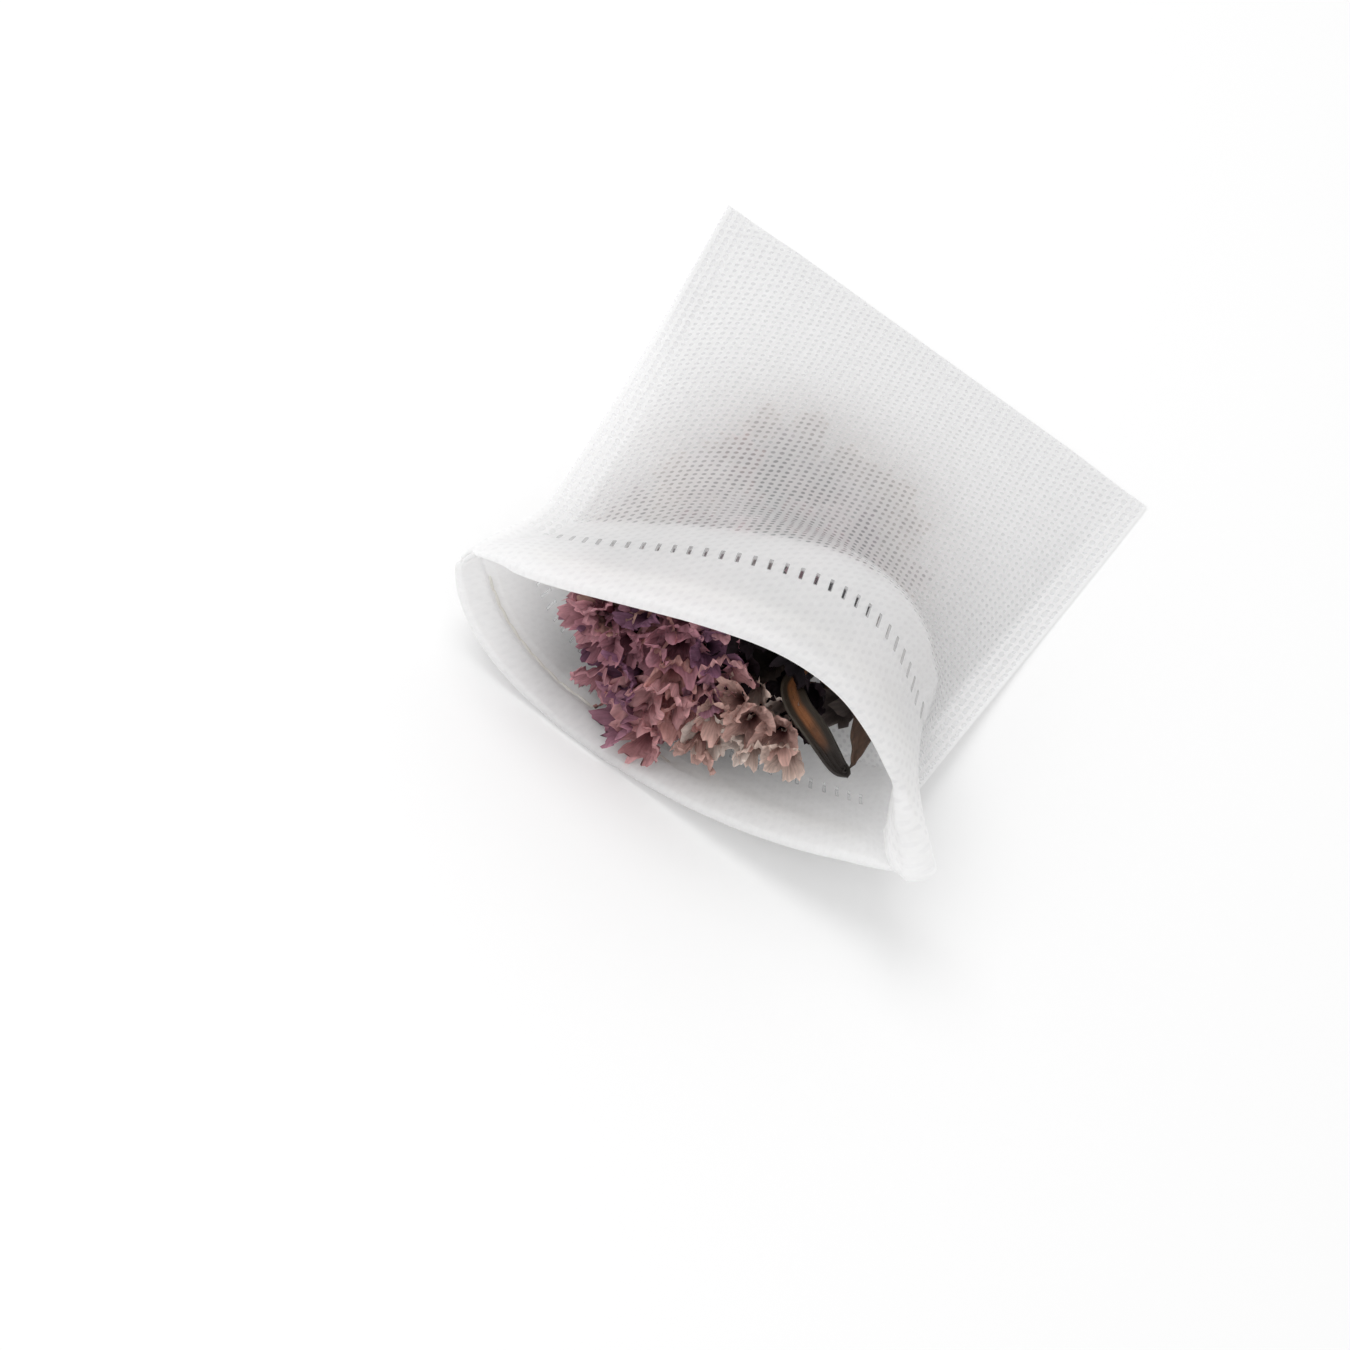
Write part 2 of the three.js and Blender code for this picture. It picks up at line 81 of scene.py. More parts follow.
def section(t):
    """The front and back panel lines across the bag, t millimetres in from the mouth."""
    v = t / BAG_LENGTH
    lift = max(0.0, 1 - v / LIFTED_SHARE) ** 1.5
    hump = (1 - v ** 2) * (1 - 0.15 * v)
    away = float(smooth(t / 18))
    h = {k: mix(MOUTH_HANDLES[k], INNER_HANDLES[k], away) for k in MOUTH_HANDLES}
    flange = mix(FLANGE_AT_MOUTH, FLANGE, away)
    in_l = LEFT_NARROWED * (1 - v * v) + LEFT_DRAWN_IN * float(smooth(t / 20)) * (1 - v) ** 1.2
    in_r = RIGHT_NARROWED * (1 - v * v) + RIGHT_DRAWN_IN * float(smooth(t / 14)) * (1 - v) ** 1.6
    edge_l = np.array([-HALF_WIDTH + in_l, HALF_SHEET + LEFT_LIFT * lift])
    edge_r = np.array([HALF_WIDTH - in_r, HALF_SHEET + RIGHT_LIFT * lift ** 2])
    tilt_l, tilt_r = math.radians(LEFT_TILT * lift), math.radians(RIGHT_TILT * lift)
    start_l = edge_l + flange * np.array([math.cos(tilt_l), -math.sin(tilt_l)])
    start_r = edge_r + flange * np.array([-math.cos(tilt_r), math.sin(tilt_r)])
    front = [start_l + (h["a1"], h["h1"] * hump), start_r + (-h["a2"], h["h2"] * hump)]
    back = [start_l + (mix(FLAT_HANDLE, h["b1"], lift), -h["g1"] * lift),
            start_r + (-mix(FLAT_HANDLE, h["b2"], lift), -h["g2"] * lift)]
    parted = 1 - float(smooth((t - 7) / 19))
    from_edge = HALF_WIDTH - np.abs(columns)
    bulge = FRONT_BULGE * math.exp(-((t - BULGE_AT[1]) / BULGE_REACH[1]) ** 2)
    bulge = bulge * np.exp(-((columns - BULGE_AT[0]) / BULGE_REACH[0]) ** 2)
    near = 1 - smooth((from_edge - flange) / 9)
    left = columns < 0
    turn = np.radians(np.where(left, mix(90, 70, parted), mix(90, 64, parted)))
    lines = []
    for side, (p1, p2) in enumerate((front, back)):
        u = np.linspace(0, 1, 121)[:, None]
        line = ((1 - u) ** 3 * start_l + 3 * u * (1 - u) ** 2 * p1
                + 3 * u * u * (1 - u) * p2 + u ** 3 * start_r)
        line = np.vstack([edge_l, line, edge_r])
        reach = np.r_[0, np.cumsum(np.linalg.norm(np.diff(line, axis=0), axis=1))]
        want = (columns + HALF_WIDTH) / BAG_WIDTH * reach[-1]
        x, z = np.interp(want, reach, line[:, 0]), np.interp(want, reach, line[:, 1])
        ends = np.where(left, SIDES_PARTED, TEARDROP_PARTED if side == 0 else SIDES_PARTED)
        part = (1 if side == 0 else -1) * (0.2 + ends * parted) * near
        x = x + np.cos(turn) * part
        z = z + np.sin(turn) * part
        if side == 0:
            z = z + 0.5 * (1 - near) + bulge * smooth(from_edge / 10)
        lines.append(np.stack([x, z], 1))
    return lines


sections = [section(float(t)) for t in stations]
panels, inward = [], []
for side in (0, 1):
    flat = np.array([s[side] for s in sections])
    step = np.diff(stations)[:, None]
    off = np.linalg.norm(np.diff(flat, axis=0), axis=2)
    run = np.sqrt(np.maximum(step ** 2 - off ** 2, 0.3 * step ** 2))
    y = BAG_LENGTH - np.vstack([np.cumsum(run[::-1], axis=0)[::-1], np.zeros((1, len(columns)))])
    rows = np.stack([flat[..., 0], y, np.maximum(flat[..., 1], HALF_SHEET)], 2)
    if side == 0:  # the open end of the front channel is drawn forwards and gapes
        drawn = smooth((columns - PULLED_FROM) / (HALF_WIDTH - PULLED_FROM))[None, :, None]
        fold_to_weld = np.clip(stations / HEM_WELD, 0, 1)[:, None, None]
        held = 1 - smooth((stations - HEM_WELD) / 12)[:, None, None]
        rows += held * drawn * mix(PULLED_FOLD, PULLED_WELD, fold_to_weld)
    places = np.arange(len(columns))
    across = rows[:, np.minimum(places + 5, places[-1])] - rows[:, np.maximum(places - 5, 0)]
    normal = np.cross(across, np.gradient(rows, axis=0))
    normal *= (-1 if side == 0 else 1) / np.linalg.norm(normal, axis=2, keepdims=True)
    panels.append(rows)
    inward.append(normal)

# Soft cockling of the cloth, none at the welded sides, the bottom fold or where it lies on the table
for side in (0, 1):
    for k, t in enumerate(stations):
        for j, s in enumerate(columns):
            hold = smooth((33.5 - abs(s)) / 9) * smooth((BAG_LENGTH - t) / 14)
            hold = float(hold * mix(0.35, 1, smooth(t / 20)))
            at = Vector((s * 0.045 + 7 * side, t * 0.03, 0.4))
            swell = 0.55 * noise.noise(at) + 0.22 * noise.noise(at * 2.7) + 0.07 * noise.noise(at * 7)
            if side == 1:
                swell = max(0.0, swell) * float(smooth(panels[1][k, j, 2] / 3))
            panels[side][k, j] += inward[side][k, j] * swell * hold


def channel(side, s):
    """How far the turned edge stands off its panel along the thread, s across the bag."""
    right = TEARDROP if side == 0 else CHANNEL_END
    left = mix(CHANNEL_END, CHANNEL, smooth((HALF_WIDTH + s) / 6))
    return mix(right, left, smooth((HALF_WIDTH - s) / (11 if side == 0 else 6)))


# The channel's shape from the mouth to the raw edge, as shares of its width, and the crease in the back one
CHANNEL_AT = [0, 1, 2.5, 4.5, 7, 9.6, HEM_WELD, HEM_EDGE]
CHANNEL_SHARE = [0.74, 0.86, 0.98, 1, 0.82, 0.36, 0, 0]
WELDED_GAP = 0.46
CREASE_AT, CREASE_DEPTH, CREASE_WIDTH = 4.2, 0.85, 0.5


def hem(side):
    """Rows of the turned edge from its raw edge to the mouth fold, with their place on the cut cloth."""
    gap = channel(side, columns)
    found = []
    for k in range(len(hem_stations), 1, -1):
        t = stations[k]
        lift = mix(WELDED_GAP, gap, np.interp(t, CHANNEL_AT, CHANNEL_SHARE))
        if side == 1:  # the lining is creased along the thread
            crease = CREASE_DEPTH * math.exp(-((t - CREASE_AT) / CREASE_WIDTH) ** 2)
            lift = lift - crease * smooth((12 - columns) / 10)
        if t > HEM_WELD:  # the raw edge lies free
            ripple = np.array([noise.noise(Vector((s * 0.16, 3.0 + side, 0))) for s in columns])
            lift = lift + (t - HEM_WELD) / (HEM_EDGE - HEM_WELD) * (0.25 + 0.3 * ripple)
        found.append((panels[side][k] + inward[side][k] * lift[:, None], HEM_EDGE - t))
    outward = panels[side][0] - panels[side][2]
    outward /= np.linalg.norm(outward, axis=1, keepdims=True)
    for turn in np.linspace(0, math.pi, 9):
        into, out = (0.5 + 0.5 * math.cos(turn)) * 0.8, 0.32 * math.sin(turn)
        fold = panels[side][0] + inward[side][0] * (gap * into)[:, None] + outward * (gap * out)[:, None]
        found.append((fold, HEM_EDGE - 0.4 + 0.8 * turn / math.pi))
    return found


front_hem, back_hem = hem(0), hem(1)
front_rows = [(panels[0][k], HEM_EDGE + stations[k]) for k in range(2, len(stations))]
back_rows = [(panels[1][k], CLOTH_LENGTH - HEM_EDGE - stations[k])
             for k in range(len(stations) - 1, 1, -1)]
fold_top, fold_under = panels[0][-1], panels[1][-1]
fold_out = np.array([0, 0.5, 0]) * np.linalg.norm(fold_top - fold_under, axis=1)[:, None]
bottom_fold = [((fold_top + fold_under) / 2 + fold_out, CLOTH_LENGTH / 2)]
cloth_rows = front_hem + front_rows + bottom_fold + back_rows
cloth_rows += [(p, CLOTH_LENGTH - v) for p, v in back_hem[::-1]]

# The cloth runs evenly round each mouth fold
FOLD_REACH = 2.6
for low in (HEM_EDGE - FOLD_REACH, CLOTH_LENGTH - HEM_EDGE - FOLD_REACH):
    round_fold = [k for k, (_, v) in enumerate(cloth_rows) if low < v < low + 2 * FOLD_REACH]
    middle = np.array([cloth_rows[k][0][len(columns) // 2] for k in round_fold])
    reach = np.r_[0, np.cumsum(np.linalg.norm(np.diff(middle, axis=0), axis=1))]
    ends = cloth_rows[round_fold[0]][1], cloth_rows[round_fold[-1]][1]
    for k, share in zip(round_fold, reach / reach[-1]):
        cloth_rows[k] = (cloth_rows[k][0], mix(*ends, share))


def finished(name, bm, material):
    """An object at the origin that holds the finished mesh and rides on the bag."""
    mesh = bpy.data.meshes.new(name)
    for face in bm.faces:
        face.smooth = True
    bm.to_mesh(mesh)
    bm.free()
    mesh.materials.append(material)
    piece = bpy.data.objects.new(name, mesh)
    bpy.context.scene.collection.objects.link(piece)
    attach(piece, "root")
    return piece


def srgb(code):
    """A hex colour as the linear colour that a shader takes."""
    parts = [int(code[k:k + 2], 16) / 255 for k in (1, 3, 5)]
    return tuple(c / 12.92 if c <= 0.04045 else ((c + 0.055) / 1.055) ** 2.4 for c in parts) + (1.0,)


def node(tree, kind, *inputs, **settings):
    """Adds a node, sets its settings, and links or sets its inputs."""
    made = tree.nodes.new(kind)
    for key, value in settings.items():
        setattr(made, key, value)
    for key, value in inputs:
        if isinstance(value, bpy.types.NodeSocket):
            tree.links.new(value, made.inputs[key])
        else:
            made.inputs[key].default_value = value
    return made


def new_material(name):
    """An empty material and its node tree."""
    made = bpy.data.materials.new(name)
    made.use_nodes = True
    made.node_tree.nodes.clear()
    return made, made.node_tree


bm = bmesh.new()
bmesh.ops.create_grid(bm, x_segments=len(columns) - 1, y_segments=len(cloth_rows) - 1, size=1)
cut = bm.loops.layers.uv.new("cut")
place_on_cut = {}
for vert in bm.verts:
    j = round((vert.co.x + 1) / 2 * (len(columns) - 1))
    k = round((vert.co.y + 1) / 2 * (len(cloth_rows) - 1))
    place_on_cut[vert] = ((columns[j] + HALF_WIDTH) / CLOTH_LENGTH, cloth_rows[k][1] / CLOTH_LENGTH)
    vert.co = Vector((cloth_rows[k][0][j] + TO_ROW) * MM)
for face in bm.faces:
    for loop in face.loops:
        loop[cut].uv = place_on_cut[loop.vert]

# Point-bonded polypropylene non-woven: a felt of fine white fibres, pressed to clear film at a staggered
# lattice of small slanted ovals, so what lies close behind shows darkest through the ovals.
# One unit of the cut's UV map is the cloth's length, and flat_mm is that map in millimetres.
OVAL_PITCH, OVAL_ROW, OVAL_HALF, OVAL_TURN = 1.05, 1.25, (0.42, 0.25), math.radians(62)
cloth, tree = new_material("point bonded nonwoven")
on_cut = node(tree, "ShaderNodeTexCoord").outputs["UV"]
flat_mm = node(tree, "ShaderNodeVectorMath", (0, on_cut), (1, (CLOTH_LENGTH, CLOTH_LENGTH, 0)),
               operation="MULTIPLY").outputs[0]
# The lattice wanders by up to a quarter of a millimetre, in waves of about 2.4 mm
wander = node(tree, "ShaderNodeTexNoise", ("Vector", on_cut), ("Scale", 90.0), ("Detail", 1.0))
drift = node(tree, "ShaderNodeVectorMath", (0, wander.outputs["Color"]), (1, (0.5, 0.5, 0.5)),
             operation="SUBTRACT")
loose_mm = node(tree, "ShaderNodeVectorMath", (0, drift.outputs[0]), (1, (0.5, 0.5, 0)), (2, flat_mm),
                operation="MULTIPLY_ADD").outputs[0]


def ovals(tree, at, pitch, row, half, turn):
    """How far a point is from the nearest oval of a staggered lattice: below 1 is inside."""
    nearest = None
    for shift in (0.0, 0.5):
        cell = node(tree, "ShaderNodeVectorMath", (0, at), (1, (2 * pitch, row, 1)), operation="DIVIDE")
        cell = node(tree, "ShaderNodeVectorMath", (0, cell.outputs[0]), (1, (shift, shift, 0)),
                    operation="ADD")
        cell = node(tree, "ShaderNodeVectorMath", (0, cell.outputs[0]), operation="FRACTION")
        cell = node(tree, "ShaderNodeVectorMath", (0, cell.outputs[0]), (1, (0.5, 0.5, 0)),
                    operation="SUBTRACT")
        cell = node(tree, "ShaderNodeVectorMath", (0, cell.outputs[0]), (1, (2 * pitch, row, 0)),
                    operation="MULTIPLY")
        cell = node(tree, "ShaderNodeVectorRotate", ("Vector", cell.outputs[0]), ("Angle", -turn),
                    rotation_type="Z_AXIS")
        cell = node(tree, "ShaderNodeVectorMath", (0, cell.outputs[0]), (1, (1 / half[0], 1 / half[1], 0)),
                    operation="MULTIPLY")
        away = node(tree, "ShaderNodeVectorMath", (0, cell.outputs[0]), operation="LENGTH").outputs["Value"]
        if nearest is None:
            nearest = away
        else:
            nearest = node(tree, "ShaderNodeMath", (0, nearest), (1, away), operation="MINIMUM").outputs[0]
    return nearest


# Weld marks: slanted dashes along both hems, and knurled ovals down both sides
DASH_PITCH, DASH_SLANT = 1.9, 0.25
KNURL_PITCH, KNURL_ROW, KNURL_HALF, KNURL_TURN = 1.1, 1.7, (0.6, 0.36), math.radians(90)
to_bond = ovals(tree, loose_mm, OVAL_PITCH, OVAL_ROW, OVAL_HALF, OVAL_TURN)
to_knurl = ovals(tree, flat_mm, KNURL_PITCH, KNURL_ROW, KNURL_HALF, KNURL_TURN)
axes = node(tree, "ShaderNodeSeparateXYZ", ("Vector", flat_mm))
off_middle = node(tree, "ShaderNodeMath", (0, axes.outputs["X"]), (1, HALF_WIDTH),
                  operation="SUBTRACT").outputs[0]
from_middle = node(tree, "ShaderNodeMath", (0, off_middle), operation="ABSOLUTE").outputs[0]
from_fold = node(tree, "ShaderNodeMath", (0, axes.outputs["Y"]), (1, CLOTH_LENGTH / 2),
                 operation="SUBTRACT")
from_fold = node(tree, "ShaderNodeMath", (0, from_fold.outputs[0]), operation="ABSOLUTE").outputs[0]
to_mouth = node(tree, "ShaderNodeMath", (0, from_fold), (1, BAG_LENGTH), operation="SUBTRACT")
to_mouth = node(tree, "ShaderNodeMath", (0, to_mouth.outputs[0]), operation="ABSOLUTE").outputs[0]
past_weld = node(tree, "ShaderNodeMath", (0, to_mouth), (1, HEM_WELD), operation="SUBTRACT").outputs[0]
to_weld = node(tree, "ShaderNodeMath", (0, past_weld), operation="ABSOLUTE").outputs[0]
to_dash = node(tree, "ShaderNodeMath", (0, past_weld), (1, DASH_SLANT), (2, off_middle),
               operation="MULTIPLY_ADD")
to_dash = node(tree, "ShaderNodeMath", (0, to_dash.outputs[0]), (1, DASH_PITCH), operation="DIVIDE")
to_dash = node(tree, "ShaderNodeMath", (0, to_dash.outputs[0]), operation="FRACT")
to_dash = node(tree, "ShaderNodeMath", (0, to_dash.outputs[0]), (1, 0.5), operation="SUBTRACT")
to_dash = node(tree, "ShaderNodeMath", (0, to_dash.outputs[0]), operation="ABSOLUTE").outputs[0]

# Each mask is 1 up to its first distance and 0 from its second: in millimetres, in half ovals for the
# bond and the knurl, and in pitches for the dash width
mask = {}
for name, far, full, gone in (("bond", to_bond, 0.55, 1.3),
                              ("dash length", to_weld, 0.7, 1.0),
                              ("dash width", to_dash, 0.08, 0.15),
                              ("dash row", from_middle, 30.2, 30.6),
                              ("hem", to_mouth, HEM_EDGE - 0.8, HEM_EDGE - 0.2),
                              ("side weld", from_middle, 34.3, 34.5),
                              ("panel", from_middle, 31.0, 31.3),
                              ("below hem", from_fold, 78.0, 79.5),
                              ("knurl", to_knurl, 0.7, 1.2)):
    mask[name] = node(tree, "ShaderNodeMapRange", ("Value", far), ("From Min", full), ("From Max", gone),
                      ("To Min", 1.0), ("To Max", 0.0), interpolation_type="SMOOTHSTEP").outputs["Result"]
dash = node(tree, "ShaderNodeMath", (0, mask["dash length"]), (1, mask["dash width"]), operation="MULTIPLY")
dash = node(tree, "ShaderNodeMath", (0, dash.outputs[0]), (1, mask["dash row"]),
            operation="MULTIPLY").outputs[0]
side_band = node(tree, "ShaderNodeMath", (0, mask["side weld"]), (1, mask["panel"]), operation="SUBTRACT")
side_band = node(tree, "ShaderNodeMath", (0, side_band.outputs[0]), (1, mask["below hem"]),
                 operation="MULTIPLY").outputs[0]
knurl = node(tree, "ShaderNodeMath", (0, mask["knurl"]), (1, side_band), operation="MULTIPLY").outputs[0]

# The doubled hem and the back panel, which lies on the table, show their bonds faintly
HEM_FAINTER, BACK_BONDS = 0.85, 0.35
single = node(tree, "ShaderNodeMath", (0, mask["hem"]), (1, -HEM_FAINTER), (2, 1.0),
              operation="MULTIPLY_ADD").outputs[0]
bond = node(tree, "ShaderNodeMath", (0, mask["bond"]), (1, single), operation="MULTIPLY").outputs[0]
under = node(tree, "ShaderNodeMapRange", ("Value", axes.outputs["Y"]), ("From Min", CLOTH_LENGTH / 2 - 2),
             ("From Max", CLOTH_LENGTH / 2 + 2), ("To Min", 1.0), ("To Max", BACK_BONDS)).outputs["Result"]
bond = node(tree, "ShaderNodeMath", (0, bond), (1, under), operation="MULTIPLY").outputs[0]

# Fibres: a cloudy felt in clumps of about 1.8 mm, with streaks of about 0.2 by 1.1 mm along the cloth,
# which is far coarser than the real fibres, so that they show
cloud = node(tree, "ShaderNodeTexNoise", ("Vector", flat_mm), ("Scale", 0.55), ("Detail", 5.0),
             ("Roughness", 0.65)).outputs["Fac"]
streak_mm = node(tree, "ShaderNodeMapping", ("Vector", flat_mm), ("Scale", (5.0, 0.9, 1.0)),
                 ("Rotation", (0, 0, 0.3)))
streak = node(tree, "ShaderNodeTexNoise", ("Vector", streak_mm.outputs[0]), ("Scale", 1.0), ("Detail", 4.0),
              ("Roughness", 0.7), ("Distortion", 0.8)).outputs["Fac"]
felt = node(tree, "ShaderNodeMath", (0, cloud), (1, 0.65), operation="MULTIPLY")
felt = node(tree, "ShaderNodeMath", (0, streak), (1, 0.35), (2, felt.outputs[0]),
            operation="MULTIPLY_ADD").outputs[0]

# How much of the cloth hides what is behind it, how deep its marks are, and how much light it lets through
FIBRE_COVER, BOND_COVER, KNURL_COVER, DASH_COVER = (0.88, 0.97), 0.5, 0.6, 0.12
WELD_DEPTH = 1.6
LIGHT_THROUGH = 0.52
cover = node(tree, "ShaderNodeMapRange", ("Value", felt), ("From Min", 0.3), ("From Max", 0.7),
             ("To Min", FIBRE_COVER[0]), ("To Max", FIBRE_COVER[1])).outputs["Result"]
for mark, marked in ((bond, BOND_COVER), (knurl, KNURL_COVER), (dash, DASH_COVER)):
    cover = node(tree, "ShaderNodeMix", ("Factor", mark), ("A", cover), ("B", marked)).outputs["Result"]
pressed = bond
for mark in (knurl, dash):
    pressed = node(tree, "ShaderNodeMath", (0, mark), (1, WELD_DEPTH), (2, pressed),
                   operation="MULTIPLY_ADD").outputs[0]
height = node(tree, "ShaderNodeMath", (0, felt), (1, 0.5), operation="MULTIPLY")
height = node(tree, "ShaderNodeMath", (0, height.outputs[0]), (1, pressed), operation="SUBTRACT").outputs[0]
relief = node(tree, "ShaderNodeBump", ("Height", height), ("Strength", 0.3),
              ("Distance", 0.1 * MM)).outputs["Normal"]
fibre_white = node(tree, "ShaderNodeMix", ("Factor", bond), ("A", srgb("#FCFCFC")), ("B", srgb("#F8F8FA")),
                   data_type="RGBA").outputs["Result"]
fibre_white = node(tree, "ShaderNodeMix", ("Factor", dash), ("A", fibre_white), ("B", srgb("#C4C4C8")),
                   data_type="RGBA").outputs["Result"]
dull = node(tree, "ShaderNodeMapRange", ("Value", pressed), ("To Min", 0.82),
            ("To Max", 0.5)).outputs["Result"]
face_of_cloth = node(tree, "ShaderNodeBsdfPrincipled", ("Base Color", fibre_white), ("Roughness", dull),
                     ("Specular IOR Level", 0.25), ("Normal", relief))
light_through = node(tree, "ShaderNodeBsdfTranslucent", ("Color", fibre_white), ("Normal", relief))
felt_body = node(tree, "ShaderNodeMixShader", ("Fac", LIGHT_THROUGH), (1, face_of_cloth.outputs[0]),
                 (2, light_through.outputs[0]))
clear = node(tree, "ShaderNodeBsdfTransparent")
open_felt = node(tree, "ShaderNodeMixShader", ("Fac", cover), (1, clear.outputs[0]),
                 (2, felt_body.outputs[0]))
node(tree, "ShaderNodeOutputMaterial", ("Surface", open_felt.outputs[0]))

bag = finished("bag_cloth", bm, cloth)
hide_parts("filter_bag")

# Drawstrings: a two-ply white cotton thread lying in each hem channel, held by the channel all the way.
# The front one shows its cut end in the open end of the channel on the right.
THREAD_RADIUS, THREAD_LINE = 0.35, 4.5
THREAD_SPANS = (("front_drawstring", -29, 34.4), ("back_drawstring", -29, 29))


def swept(bm, points, outline):
    """A closed solid along points; outline(k) gives the ring of (right, up) offsets at point k."""
    tops = None
    right = None
    for k, point in enumerate(points):
        ahead = (points[min(k + 1, len(points) - 1)] - points[max(k - 1, 0)]).normalized()
        if right is None:
            right = ahead.orthogonal().normalized()
        right = (right - ahead * right.dot(ahead)).normalized()
        up = ahead.cross(right)
        ring = outline(k)
        if tops is None:
            tops = bmesh.ops.create_circle(bm, segments=len(ring), radius=1, cap_ends=True)["verts"]
        else:
            edges = [bm.edges.get((tops[i], tops[i - 1])) for i in range(len(tops))]
            grown = bmesh.ops.extrude_edge_only(bm, edges=edges)["geom"]
            new = [v for v in grown if isinstance(v, bmesh.types.BMVert)]
            above = {}
            for vert in new:
                for edge in vert.link_edges:
                    other = edge.other_vert(vert)
                    if other not in new:
                        above[other] = vert
            tops = [above[v] for v in tops]
        for vert, (a, b) in zip(tops, ring):
            vert.co = (point + right * a + up * b) * MM
    bmesh.ops.holes_fill(bm, edges=[e for e in bm.edges if e.is_boundary], sides=0)
    bmesh.ops.recalc_face_normals(bm, faces=bm.faces)


def two_ply(k):
    """The outline of two plies side by side, turned a little further at each point."""
    ring = []
    for i in range(12):
        a = i / 12 * 2 * math.pi
        r = THREAD_RADIUS * (0.72 + 0.28 * abs(math.cos(a)))
        ring.append((r * math.cos(a + 0.5 * k), r * math.sin(a + 0.5 * k)))
    return ring


# Twisted cotton: matt and off-white, with a fluff of about a quarter of a millimetre
string_white, tree = new_material("twisted cotton thread")
at = node(tree, "ShaderNodeTexCoord").outputs["Object"]
fluff = node(tree, "ShaderNodeTexNoise", ("Vector", at), ("Scale", 4000.0), ("Detail", 3.0)).outputs["Fac"]
tone = node(tree, "ShaderNodeMix", ("Factor", fluff), ("A", srgb("#DDDAD2")), ("B", srgb("#F6F4EF")),
            data_type="RGBA")
lint = node(tree, "ShaderNodeBump", ("Height", fluff), ("Strength", 0.4), ("Distance", 0.1 * MM))
yarn = node(tree, "ShaderNodeBsdfPrincipled", ("Base Color", tone.outputs["Result"]), ("Roughness", 0.85),
            ("Normal", lint.outputs[0]))
node(tree, "ShaderNodeOutputMaterial", ("Surface", yarn.outputs[0]))

hem_line = int(np.argmin(np.abs(stations - THREAD_LINE)))
for side, (name, left_end, right_end) in enumerate(THREAD_SPANS):
    lay = []
    for s in np.linspace(left_end, right_end, 150):
        p = np.array([np.interp(s, columns, panels[side][hem_line][:, c]) for c in range(3)])
        n = np.array([np.interp(s, columns, inward[side][hem_line][:, c]) for c in range(3)])
        lay.append(Vector(p + n * min(float(channel(side, s)), CHANNEL * 1.25) / 2 + TO_ROW))
    bm = bmesh.new()
    swept(bm, lay, two_ply)
    thread = finished(name + "_thread", bm, string_white)
    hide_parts(name)

# Dried flower sprigs: papery ruffled calyces on thin branched stems, dried to mauve, dusty pink and
# cream. They lie in the bag with their heads crowded in the mouth, and the deeper ones show dimly
# through the front panel.
# Tints run (throat, rim): the dark throat colour is painted shade in the funnel's hollow, and the pale rim
# colour is the petal colour with painted highlight
PINK_TINTS = [("#6E3240", "#D29CA4"), ("#804048", "#DCA8AA"), ("#602C3C", "#C48C98"),
              ("#86464A", "#DAA6A0"), ("#522840", "#B08090"), ("#462640", "#946A82")]
TAN_TINTS = [("#7A4A46", "#DEC0B0"), ("#704044", "#D4ACA0")]
CREAM_TINTS = [("#5E2E28", "#EAD2C6"), ("#562824", "#F0E0D6"), ("#5A2A28", "#DDB6AC")]
# Near-black tints: dark dried petals, darkened further as painted shade for the bag's shaded depths
DARK_AND_SHADE_TINTS = [("#09060A", "#1C1218"), ("#0C070A", "#22161C"), ("#0A0705", "#1E140F")]
FADED_TINTS = [("#B8A4A8", "#E2D8DA"), ("#C0AEAA", "#E8DED8")]
# A dark grey that is painted shade, put on heads in the gap beside the leaf
PAINTED_SHADE_GREY = ("#2E2826", "#6A605C")
TWIG_BROWN = "#4A3626"
PINK_STEM = (Vector((-5, 54, 1.5)), Vector((-4, 12, 9.5)))
CREAM_STEM = (Vector((7.5, 54, 1.5)), Vector((8.2, 13, 7.4)))
PINK_MESH, CREAM_MESH, SHADED_MESH, DEEP_MESH = (56, 12), (48, 10), (32, 6), (24, 5)
SHADE_FILL_HEADS = ((14, 21, 8), (17.5, 22, 10), (20.5, 24, 9), (16, 25, 12), (19.5, 20, 13))
chance = random.Random(11)


def inside_at(x, y):
    """The heights of the bag's floor and roof at a place inside it."""
    heights = []
    for side in (1, 0):
        off = (panels[side][::2, ::2, 0] - x) ** 2 + (panels[side][::2, ::2, 1] - y) ** 2
        heights.append(panels[side][::2, ::2, 2].flat[np.argmin(off)])
    return heights


def clear_of_bag(x, y, z, radius):
    """Whether a head of that size fits between the bag's floor and roof."""
    ground, roof = inside_at(x, y)
    return ground + 0.75 * radius + 1.0 < z < roof - 0.75 * radius - 1.6


def scattered(chance, tries, gap, low, high, keep):
    """Random places in a box, at least gap apart, that keep allows."""
    places = []
    for _ in range(tries):
        p = Vector([chance.uniform(a, b) for a, b in zip(low, high)])
        if keep(p) and all((p - other).length > gap for other in places):
            places.append(p)
    return places


